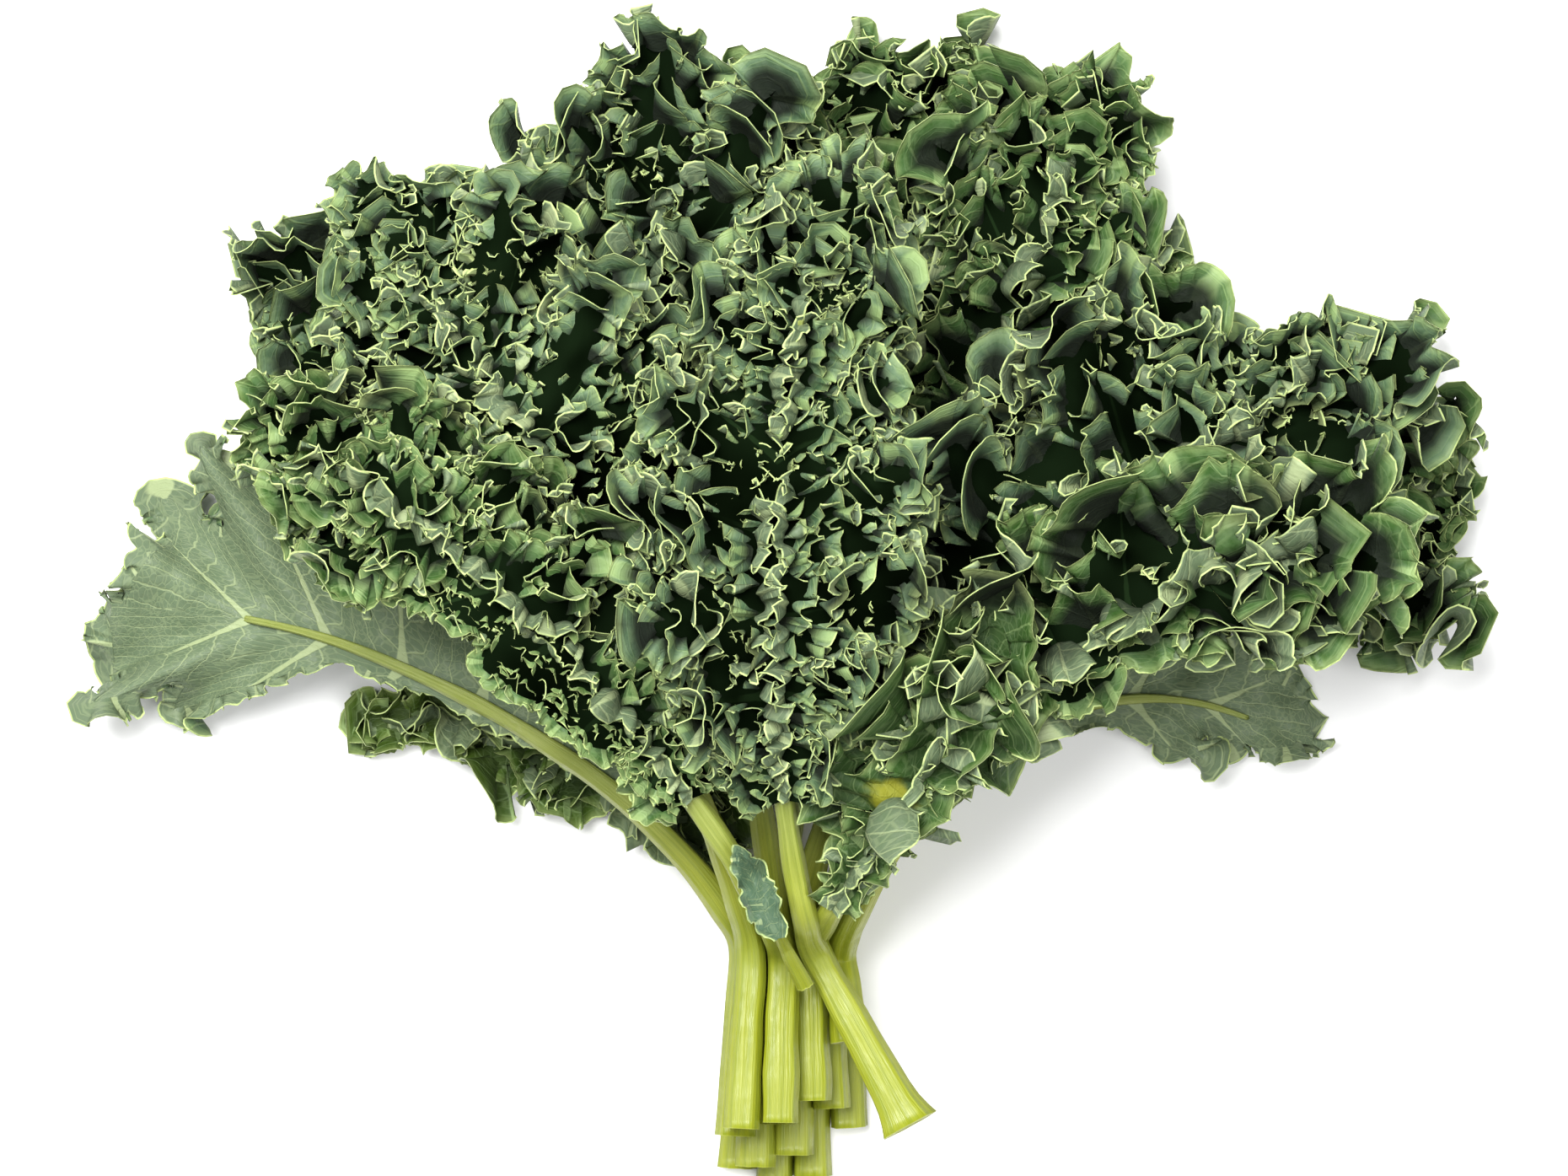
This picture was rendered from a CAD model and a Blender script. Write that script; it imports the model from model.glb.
"""A bunch of curly kale that lies on a pale table, dressed for the render.

Each leaf of the plain model gets two finer pieces: a blade, whose sheet carries rings of frilled
bands with toothed pale rims, veins and a lighter underside, and a ridged stalk that runs on as the
midrib. The blades follow the plain ones, so the leaves lie on each other as they do there. Lengths
are millimetres until a mesh is written in metres.
"""

import logging
import math
from dataclasses import dataclass, field
from enum import Enum

import bpy
import numpy as np
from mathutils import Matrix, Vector
from mathutils.bvhtree import BVHTree
from mathutils.kdtree import KDTree


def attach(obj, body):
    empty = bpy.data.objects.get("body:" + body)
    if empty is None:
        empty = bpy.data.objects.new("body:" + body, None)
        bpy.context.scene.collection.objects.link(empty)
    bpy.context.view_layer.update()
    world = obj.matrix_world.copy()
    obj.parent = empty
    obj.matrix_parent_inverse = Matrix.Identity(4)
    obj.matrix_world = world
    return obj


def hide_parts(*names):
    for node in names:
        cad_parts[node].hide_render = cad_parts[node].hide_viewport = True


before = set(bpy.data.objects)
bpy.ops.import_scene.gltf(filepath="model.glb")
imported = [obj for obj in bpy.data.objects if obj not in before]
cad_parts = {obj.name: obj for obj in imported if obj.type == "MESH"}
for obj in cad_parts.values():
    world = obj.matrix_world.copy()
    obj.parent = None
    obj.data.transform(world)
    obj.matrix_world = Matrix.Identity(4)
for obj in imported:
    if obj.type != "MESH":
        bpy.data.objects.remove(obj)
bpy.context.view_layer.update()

LOG = logging.getLogger("kale")
MM = 0.001
EXPOSED = 0.78  # the share of a screen colour that is the skin's own, as white paper is blown out
UV_SCALE = 100.0  # UV maps hold millimetres divided by this


# The bundle of stalks and the plain blades, as the plain model lays them out

STALK_R = 5.3
CUT_FLARE = 1.2
FLARE_SHARE = 0.55
PITCH_X, PITCH_Z = 10.9, 10.3
CUT_SPREAD_X, CUT_SPREAD_Z = 1.2, 1.2
NECK = (-1.0, -121.0)
FREE_RINGS = 3
RIB_TIP_R = 0.9
RIB_THINNING = 0.8
STALK_SIDES = 8
SKIN_OFFSET = 1.3  # from the skin of the midrib to the middle of the plain blade
COLUMNS_PER_WAVE = 4
ROWS = (0.0, 0.3, 0.58, 0.8, 1.0)
RAY_BASE, RAY_TIP, RAY_TURN = math.radians(104), math.radians(24), 1.25
TIP_REACH = 0.74
BASE_WIDTH, TIP_WIDTH = 0.2, 0.68
NOTCH, NOTCH_RISE = 0.16, 3
LOBE_REACH = (0.9, 1.08)
MIDDLE = (5.0, 3.0)  # where the plain model's own layout has the origin of its box


class Curl(Enum):
    """How tightly the margin of a leaf is curled."""

    FINE = "fine"
    USUAL = "usual"
    BROAD = "broad"
    SOFT = "soft"


class Tint(Enum):
    """Which green a leaf has."""

    BLUE = "blue green"
    MID = "mid green"
    DEEP = "deep green"
    TURNING = "turning yellow"
    PALE = "pale underside"
    SHADE = "shaded underside"


@dataclass(frozen=True)
class LeafPlan:
    """One leaf of the bunch: its place in the bundle, its route, its width and its character.

    A trim is a side (1 left of the leaf's heading, -1 right of it), the shares of the length that it
    runs from and to, and how many times as wide the blade is there.
    """

    name: str
    column: float
    row: float
    cut_y: float
    bend: tuple[float, float, float]
    tip: tuple[float, float, float]
    half_width: float
    start: float
    waves: int
    reach: float = 54
    widest: float = 0.5
    taper: float = 1.3
    foot: float = CUT_FLARE
    slim: float = 1.0
    cut_x: float | None = None
    cut_z: float | None = None
    faces_down: bool = False
    curl: Curl = Curl.USUAL
    tint: Tint = Tint.MID
    trims: tuple[tuple[int, float, float, float], ...] = ()


LEAVES = (
    LeafPlan("low_right", 1.5, 0, -184, (92, -16, 4), (156, -42, 0), 38, 0.28, 5,
             faces_down=True, curl=Curl.SOFT, tint=Tint.PALE,
             trims=((-1, 0.0, 0.62, 0.25), (-1, 0.78, 1.0, 0.8))),
    LeafPlan("low_left", -1.5, 0, -198, (-74, -32, 4), (-146, -44, 0), 36, 0.2, 5,
             reach=36, curl=Curl.BROAD, tint=Tint.DEEP,
             trims=((1, 0.0, 0.36, 0.25), (1, 0.42, 0.6, 0.7), (1, 0.72, 1.0, 0.5), (-1, 0.9, 1.0, 0.5))),
    LeafPlan("top_back", -0.5, 0, -203, (22, 60, 4), (22, 156, 0), 68, 0.32, 7,
             curl=Curl.USUAL, tint=Tint.MID,
             trims=((1, 0.5, 0.88, 1.3), (1, 0.92, 1.0, 0.62), (-1, 0.6, 0.9, 1.6), (-1, 0.96, 1.0, 0.7))),
    LeafPlan("right_back", 0.5, 0, -201, (124, 6, 4), (200, 22, 0), 66, 0.32, 7,
             curl=Curl.USUAL, tint=Tint.MID,
             trims=((-1, 0.0, 0.7, 0.15), (-1, 0.76, 0.88, 1.35), (-1, 0.94, 1.0, 0.6),
                    (1, 0.5, 0.78, 1.1), (1, 0.82, 0.93, 1.7), (1, 0.97, 1.0, 0.62))),
    LeafPlan("upper_left_back", -1, 1, -196, (-96, 36, 10), (-164, 92, 8), 54, 0.32, 6,
             curl=Curl.USUAL, tint=Tint.BLUE,
             trims=((-1, 0.66, 0.92, 1.2), (1, 0.86, 1.0, 0.78))),
    LeafPlan("top_right", 0, 1, -192, (60, 56, 14), (92, 144, 10), 68, 0.32, 7,
             curl=Curl.USUAL, tint=Tint.MID,
             trims=((1, 0.55, 0.8, 1.25), (1, 0.88, 1.0, 0.8), (-1, 0.4, 0.7, 1.3), (-1, 0.82, 1.0, 0.85))),
    LeafPlan("upper_right", 1, 1, -176, (106, 40, 14), (168, 72, 10), 56, 0.34, 6,
             curl=Curl.USUAL, tint=Tint.BLUE,
             trims=((1, 0.3, 0.62, 1.45), (1, 0.76, 1.0, 0.72), (-1, 0.0, 0.45, 0.4), (-1, 0.6, 0.93, 1.3))),
    LeafPlan("left_wing", -1.5, 2, -184, (-124, -14, 12), (-200, -6, 8), 54, 0.3, 6,
             widest=0.85, taper=2.4, faces_down=True, curl=Curl.SOFT, tint=Tint.PALE,
             trims=((1, 0.0, 0.72, 0.2), (1, 0.76, 0.9, 1.4), (-1, 0.6, 0.86, 1.5), (-1, 0.95, 1.0, 0.9))),
    LeafPlan("top_left", -0.5, 2, -180, (-34, 60, 20), (-48, 144, 14), 66, 0.34, 7,
             curl=Curl.USUAL, tint=Tint.BLUE,
             trims=((1, 0.5, 0.85, 1.35), (1, 0.93, 1.0, 0.85), (-1, 0.45, 0.82, 1.25))),
    LeafPlan("right_front", 1.5, 2, -152, (96, 6, 24), (166, 14, 16), 48, 0.32, 6,
             curl=Curl.BROAD, tint=Tint.MID, trims=((-1, 0.0, 0.6, 0.4),)),
    LeafPlan("low_front", 0.5, 2, -172, (40, -68, 40), (60, -22, 40), 34, 0.22, 5,
             reach=26, curl=Curl.BROAD, tint=Tint.TURNING,
             trims=((-1, 0.0, 0.6, 0.4), (1, 0.0, 0.3, 0.5))),
    LeafPlan("upper_left", -1.35, 3.05, -180, (-76, 30, 24), (-128, 110, 14), 54, 0.36, 6,
             curl=Curl.FINE, tint=Tint.BLUE,
             trims=((-1, 0.5, 0.86, 1.3), (-1, 0.95, 1.0, 0.85), (1, 0.9, 1.0, 0.8))),
    LeafPlan("left_front", -0.35, 3.05, -178, (-92, 6, 30), (-148, 42, 18), 50, 0.32, 6,
             curl=Curl.FINE, tint=Tint.MID,
             trims=((1, 0.14, 0.6, 0.5),)),
    LeafPlan("centre_front", 0.7, 3.4, -178, (-20, 30, 50), (6, 106, 40), 54, 0.32, 7,
             reach=36, cut_x=38, cut_z=52, foot=2, curl=Curl.FINE, tint=Tint.BLUE),
    LeafPlan("young", -0.1, 5.2, -131, (-10, -104, 72), (-18, -86, 84), 17, 0.34, 3,
             reach=8, cut_x=3, cut_z=50, foot=1, slim=0.45, faces_down=True, curl=Curl.SOFT,
             tint=Tint.SHADE, trims=((1, 0.0, 1.0, 0.5), (-1, 0.0, 1.0, 0.5))),
)


# Small helpers for arrays of points


def unit(vectors: np.ndarray) -> np.ndarray:
    """The vectors at length one."""
    return vectors / np.maximum(np.linalg.norm(vectors, axis=-1, keepdims=True), 1e-9)


def smooth(low: float, high: float, values: np.ndarray) -> np.ndarray:
    """A smooth step from 0 at low to 1 at high."""
    share = np.clip((np.asarray(values, float) - low) / (high - low), 0, 1)
    return share * share * (3 - 2 * share)


def repeatable_draw(leaf: int, feature: int) -> float:
    """The draw from 0 to 1 that the plain model makes for a leaf and one of its features."""
    value = math.sin(leaf * 127.1 + feature * 311.7) * 43758.5453
    return value - math.floor(value)


def along_knots(knots: np.ndarray, at: np.ndarray) -> np.ndarray:
    """Points on a smooth curve through evenly numbered knots.

    Args:
        knots: the knots, numbered along the first axis.
        at: knot numbers, with shares between them.

    Returns:
        One point, or row of points, for each number.
    """
    last = len(knots) - 1
    index = np.clip(np.floor(at).astype(int), 0, last - 1)
    t = (at - index).reshape((-1,) + (1,) * (knots.ndim - 1))
    a, b, c, d = (knots[np.clip(index + step, 0, last)] for step in (-1, 0, 1, 2))
    square, cube = 2 * a - 5 * b + 4 * c - d, 3 * b - a - 3 * c + d
    return 0.5 * (2 * b + (c - a) * t + square * t**2 + cube * t**3)


def across_rows(columns: np.ndarray, shares: np.ndarray) -> np.ndarray:
    """Points on smooth curves through the plain blade's rows.

    Args:
        columns: knots as (column, row, xyz), one row for each of ROWS.
        shares: where to read each column, as (column, fine row) shares of the way to the margin.

    Returns:
        Points as (column, fine row, xyz).
    """
    knots = np.array(ROWS)
    gaps = np.diff(knots)
    steps = np.diff(columns, axis=1) / gaps[None, :, None]
    slopes = np.empty_like(columns)
    slopes[:, 0], slopes[:, -1] = steps[:, 0], steps[:, -1]
    weight = (gaps[1:] / (gaps[1:] + gaps[:-1]))[None, :, None]
    slopes[:, 1:-1] = weight * steps[:, :-1] + (1 - weight) * steps[:, 1:]
    cell = np.clip(np.searchsorted(knots, shares, side="right") - 1, 0, len(gaps) - 1)
    pick = np.arange(len(columns))[:, None]
    gap = gaps[cell][..., None]
    t = (np.minimum(shares, 1) - knots[cell])[..., None] / gap
    over = np.maximum(shares - 1, 0)[..., None] * slopes[:, -1:]
    a, b = columns[pick, cell], columns[pick, cell + 1]
    slope_a, slope_b = slopes[pick, cell] * gap, slopes[pick, cell + 1] * gap
    return (
        (2 * t**3 - 3 * t**2 + 1) * a
        + (t**3 - 2 * t**2 + t) * slope_a
        + (3 * t**2 - 2 * t**3) * b
        + (t**3 - t**2) * slope_b
        + over
    )


class Wander:
    """A smooth repeatable wandering from about -1 to 1 along a line."""

    def __init__(self, rng: np.random.Generator, length: float) -> None:
        """Draws the waves.

        Args:
            rng: where the draws come from.
            length: the usual length of one swing.
        """
        self.lengths = length * rng.uniform(0.7, 1.9, 5)
        self.phases = rng.uniform(0, 2 * math.pi, 5)

    def at(self, along: np.ndarray) -> np.ndarray:
        """Its value at each distance along the line."""
        waves = np.sin(2 * math.pi * along[..., None] / self.lengths + self.phases)
        return waves.sum(-1) / 2.6


# How margins are ruffled


@dataclass(frozen=True)
class Ripple:
    """One order of ruffles: its length along the margin, its height and where it begins.

    It gathers towards the margin, loops sideways, leans over, and its length is spread.
    """

    length: float
    height: float
    begins: float
    gather: float = 1.3
    loop: float = 0.4
    lean: float = 0.8
    spread: float = 0.4

    def push(self, blade: "Sheet", rng: np.random.Generator, size: np.ndarray) -> None:
        """Ruffles a blade.

        Args:
            blade: the sheet that is moved.
            rng: where the draws come from.
            size: how strong the ruffles are at each column, from 0 to 1.
        """
        along, out, up = blade.frames()
        where = blade.along
        warp = self.spread * Wander(rng, 2.3 * self.length).at(where)
        phase = 2 * math.pi * (where / self.length + warp) + rng.uniform(0, 6)
        swing = 1 + 0.4 * Wander(rng, 1.7 * self.length).at(where)
        lean = self.lean * Wander(rng, 2.9 * self.length).at(where)
        rise = np.clip((blade.shares - self.begins) / (1 - self.begins), 0, 1) ** self.gather
        height = (self.height * size * swing)[:, None] * rise[None, :]
        aim = up * np.cos(lean)[:, None, None] + out * np.sin(lean)[:, None, None]
        blade.points += aim * (height * np.sin(phase)[:, None])[..., None]
        loop = self.loop * height * rise[None, :] * np.sin(2 * phase)[:, None]
        blade.points += along * loop[..., None]


@dataclass(frozen=True)
class Frill:
    """How a blade is frilled: the bands that stand on it, their ruffles and the cuts between lobes.

    Bands stand a pitch apart and turn up by degrees. Each is cut into tongues and teeth.
    """

    lobe: float
    notch: tuple[float, float]
    pitch: float
    height: float
    turn_up: tuple[float, float]
    turn_up_at_margin: tuple[float, float]
    ripples: tuple[Ripple, ...]
    spacing: float
    tooth: float
    tooth_length: float
    tongue: float
    tongue_cut: float
    innermost: float = 0.06


FRILLS = {
    Curl.FINE: Frill(
        4.0, (0.1, 0.35), 7.2, 10.5, (6, 50), (-4, 46),
        (Ripple(8.8, 3.7, -0.3, 0.9, 0.3, 0.5, 0.22), Ripple(4.1, 1.45, 0.1, 1.1, 0.3, 0.6, 0.25)),
        0.5, tooth=1.2, tooth_length=3.2, tongue=10.0, tongue_cut=0.5,
    ),
    Curl.USUAL: Frill(
        4.0, (0.1, 0.35), 9.8, 14.0, (6, 48), (-6, 44),
        (Ripple(12.5, 5.0, -0.3, 0.9, 0.3, 0.5, 0.22), Ripple(5.4, 1.9, 0.1, 1.1, 0.3, 0.6, 0.25)),
        0.6, tooth=2.0, tooth_length=4.8, tongue=16.0, tongue_cut=0.55,
    ),
    Curl.BROAD: Frill(
        4.0, (0.1, 0.4), 13.5, 19.0, (2, 46), (-6, 42),
        (Ripple(24, 7.2, -0.3, 0.9, 0.3, 0.5, 0.22), Ripple(8.5, 2.5, 0.15, 1.2, 0.3, 0.6, 0.25)),
        0.62, tooth=3.0, tooth_length=6.8, tongue=24.0, tongue_cut=0.6,
    ),
    Curl.SOFT: Frill(
        4.0, (0.08, 0.35), 60.0, 9.0, (-15, 35), (-15, 35),
        (Ripple(15, 3.4, 0.0, 1.0), Ripple(6.0, 1.8, 0.1, 1.1)),
        0.55, tooth=1.1, tooth_length=4.4, tongue=26.0, tongue_cut=0.5,
    ),
}


@dataclass(frozen=True)
class Hollow:
    """A place where the bunch is open and one looks into its dark inside."""

    x: float
    y: float
    half_x: float
    half_y: float


HOLLOWS = tuple(Hollow(*sizes) for sizes in (
    (-96, 104, 26, 9), (-40, 71, 9, 9), (-17, 38, 13, 12), (52, -1, 28, 10), (150, 27, 20, 12),
    (162, 55, 18, 10), (66, 64, 10, 14), (-144, 64, 15, 9), (-23, -22, 8, 10), (-68, -12, 11, 6),
    (12, -6, 11, 8), (112, 4, 14, 8), (-110, 56, 10, 6), (69, 118, 11, 7), (-54, 139, 9, 7),
    (8, 96, 9, 9), (-84, 26, 10, 7), (100, 78, 12, 7),
))


def openness(points: np.ndarray) -> np.ndarray:
    """How far points are inside a hollow.

    Args:
        points: points, seen from above.

    Returns:
        From 0 outside to 1 inside, for each point.
    """
    most = np.zeros(points.shape[:-1])
    for hollow in HOLLOWS:
        across = (points[..., 0] - hollow.x) / hollow.half_x
        on = (points[..., 1] - hollow.y) / hollow.half_y
        most = np.maximum(most, 1 - smooth(0.55, 1.25, np.hypot(across, on)))
    return most


class Sheet:
    """A surface as a grid of points: columns along the margin, rows towards it."""

    def __init__(self, points: np.ndarray, along: np.ndarray, shares: np.ndarray) -> None:
        """Keeps the grid.

        Args:
            points: (column, row, xyz).
            along: the distance of each column along the margin.
            shares: the share of the way to the margin of each row.
        """
        self.points = points
        self.along = along
        self.shares = shares

    def frames(self) -> tuple[np.ndarray, np.ndarray, np.ndarray]:
        """The directions of the sheet.

        Returns:
            Unit vectors along the margin, outwards and up, at each point.
        """
        along = unit(np.gradient(self.points, self.along, axis=0))
        out = unit(np.gradient(self.points, self.shares, axis=1))
        up = unit(np.cross(out, along))
        return along, out, up


@dataclass
class LeafShape:
    """The route, the midrib and the plain blade of one leaf, as the plain model has them."""

    plan: LeafPlan
    number: int
    stations: int = field(init=False)
    stalk_r: float = field(init=False)
    route: np.ndarray = field(init=False)

    def __post_init__(self) -> None:
        """Works out the route of the midrib."""
        self.stations = self.plan.waves * COLUMNS_PER_WAVE
        self.stalk_r = STALK_R * self.plan.slim
        self.route = self.make_route()

    def rest_r(self, flare: float = 1.0) -> float:
        """Height of the axis of a stalk that lies on one of its flat sides."""
        return self.stalk_r * flare * math.cos(math.pi / STALK_SIDES)

    def neck(self) -> np.ndarray:
        """Where the stalk's axis is at the neck."""
        x, z = NECK[0] + self.plan.column * PITCH_X, self.rest_r() + self.plan.row * PITCH_Z
        return np.array([x, NECK[1], z])

    def cut(self) -> np.ndarray:
        """The cut end of the stalk.

        Returns:
            Where its axis is there.
        """
        plan = self.plan
        x = NECK[0] + plan.column * PITCH_X * CUT_SPREAD_X if plan.cut_x is None else plan.cut_x
        z = self.rest_r(CUT_FLARE) + plan.row * PITCH_Z * CUT_SPREAD_Z if plan.cut_z is None else plan.cut_z
        return np.array([x, plan.cut_y, z])

    def make_route(self) -> np.ndarray:
        """The route of the midrib.

        Returns:
            The four points that steer it from the neck to the tip.
        """
        neck, bend, tip = self.neck(), np.array(self.plan.bend, float), np.array(self.plan.tip, float)
        flat = np.array([1.0, 1.0, 0.0])
        ahead = unit((neck - self.cut()) * flat) + unit((bend - neck) * flat)
        return np.array([neck, neck + unit(ahead) * self.plan.reach, bend, tip])

    def route_point(self, share: float) -> np.ndarray:
        """A point of the midrib's route.

        Args:
            share: the share of the route, from 0 at the neck to 1 at the tip.

        Returns:
            The point.
        """
        a, b, c, d = self.route
        rest = 1 - share
        return a * rest**3 + 3 * b * share * rest**2 + 3 * c * share**2 * rest + d * share**3

    def ahead(self, share: float) -> np.ndarray:
        """The direction of the midrib's route.

        Args:
            share: the share of the route.

        Returns:
            A level unit vector.
        """
        a, b, c, d = self.route
        rest = 1 - share
        slope = (b - a) * rest**2 + 2 * (c - b) * share * rest + (d - c) * share**2
        return unit(slope * np.array([1.0, 1.0, 0.0]))

    def rib_r(self, share: float) -> float:
        """Radius of the stalk or midrib there."""
        return self.stalk_r + (RIB_TIP_R - self.stalk_r) * share**RIB_THINNING

    def share_at(self, station: float) -> float:
        """The share of the route at a station of the blade."""
        return self.plan.start + (1 - self.plan.start) * station / self.stations

    def width_at(self, share: float) -> float:
        """Width of the blade along its length.

        Args:
            share: the share of the blade's length.

        Returns:
            A share of the widest, from 0 to 1.
        """
        plan = self.plan
        if share < plan.widest:
            return BASE_WIDTH + (1 - BASE_WIDTH) * math.sin(math.pi / 2 * share / plan.widest) ** plan.taper
        past = (share - plan.widest) / (1 - plan.widest)
        return 1 + (TIP_WIDTH - 1) * past * past

    def width(self, station: int, side: int) -> float:
        """How far the plain blade reaches from the midrib.

        Args:
            station: the station, counted from the blade's base.
            side: 1 left of the heading, -1 right of it.

        Returns:
            The reach along the ray of that station.
        """
        wave = station // COLUMNS_PER_WAVE + (0 if side > 0 else self.plan.waves)
        low, high = LOBE_REACH
        reach = low + (high - low) * repeatable_draw(self.number, 50 + wave)
        share = TIP_REACH if station == self.stations else self.width_at(station / self.stations)
        return share * self.plan.half_width * reach

    def blade_point(self, station: int, side: int, row_share: float) -> np.ndarray:
        """Where a point of the plain blade is, seen from above.

        Args:
            station: the station, counted from the blade's base.
            side: 1 left of the heading, -1 right of it.
            row_share: the share of the way from the midrib to the margin.

        Returns:
            The point, at the height of the route.
        """
        at_tip = station == self.stations
        share = station / self.stations
        ray = 0 if at_tip else RAY_BASE + (RAY_TIP - RAY_BASE) * share**RAY_TURN
        level = station % 2 == 0
        notch = NOTCH * row_share**NOTCH_RISE if level and not at_tip else 0
        out = self.width(station, side) * row_share * (1 - notch)
        ahead = self.ahead(self.share_at(station))
        beside = np.array([-ahead[1], ahead[0], 0])
        on_rib = self.route_point(self.share_at(station))
        return on_rib + ahead * out * math.cos(ray) + beside * out * math.sin(ray) * side

    def plain_blade(self) -> np.ndarray:
        """The plain blade's grid from one side of its base round the tip to the other.

        Returns:
            Points as (column, row, xyz), with the middle of the leaf at the origin's place.
        """
        order = [(station, -1) for station in range(self.stations + 1)]
        order += [(station, 1) for station in range(self.stations - 1, -1, -1)]
        grid = np.array([[self.blade_point(*place, share) for share in ROWS] for place in order])
        grid[..., :2] -= MIDDLE
        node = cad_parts[f"{self.plan.name}_blade"]
        corners = np.array([v.co for v in node.data.vertices]) / MM
        corners = np.unique(np.round(corners, 3), axis=0)
        tree = KDTree(len(corners))
        for i, (x, y, _) in enumerate(corners):
            tree.insert((x, y, 0), i)
        tree.balance()
        worst = 0.0
        for point in grid.reshape(-1, 3):
            near = [corners[i] for _, i, _ in tree.find_n((point[0], point[1], 0), 2)]
            middle = np.mean(near, axis=0)
            worst = max(worst, float(np.hypot(*(middle - point)[:2])))
            point[2] = middle[2]
        LOG.info("%s: the plain blade's points are within %.2f mm", self.plan.name, worst)
        return grid

    def stalk_rings(self) -> tuple[np.ndarray, np.ndarray]:
        """The plain stalk, from its cut end to the midrib's end.

        Returns:
            The points of its axis, and its radius at each.
        """
        neck, cut = self.neck(), self.cut()
        flare = CUT_FLARE + (1 - CUT_FLARE) * FLARE_SHARE
        rings = [(cut, self.stalk_r * CUT_FLARE), (cut + (neck - cut) * FLARE_SHARE, self.stalk_r * flare)]
        shares = [self.plan.start * ring / FREE_RINGS for ring in range(FREE_RINGS)]
        shares += [self.share_at(station) for station in range(0, self.stations + 1, 2)]
        rings += [(self.route_point(share), self.rib_r(share)) for share in shares]
        axis = np.array([point for point, _ in rings])
        axis[:, :2] -= MIDDLE
        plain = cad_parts[f"{self.plan.name}_stalk"].data
        tree = BVHTree.FromPolygons([v.co for v in plain.vertices], [p.vertices[:] for p in plain.polygons])
        for point in axis[3:]:
            inside = Vector((point[0] * MM, point[1] * MM, 0))
            above = tree.ray_cast(inside + Vector((0, 0, 1)), Vector((0, 0, -1)))[0]
            below = tree.ray_cast(inside - Vector((0, 0, 1)), Vector((0, 0, 1)))[0]
            if above and below:
                point[2] = (above.z + below.z) / 2 / MM
        return axis, np.array([radius for _, radius in rings])


# Finishes


def add_group(name: str, inputs: dict[str, float], outputs: dict[str, str]) -> bpy.types.ShaderNodeTree:
    """An empty node group with its sockets.

    Args:
        name: the group's name.
        inputs: float inputs and their usual values.
        outputs: outputs and their socket types.

    Returns:
        The group, with its input and output nodes.
    """
    group = bpy.data.node_groups.new(name, "ShaderNodeTree")
    for label, value in inputs.items():
        socket = group.interface.new_socket(label, in_out="INPUT", socket_type="NodeSocketFloat")
        socket.default_value = value
    for label, kind in outputs.items():
        group.interface.new_socket(label, in_out="OUTPUT", socket_type=kind)
    group.nodes.new("NodeGroupInput")
    group.nodes.new("NodeGroupOutput")
    return group


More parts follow.
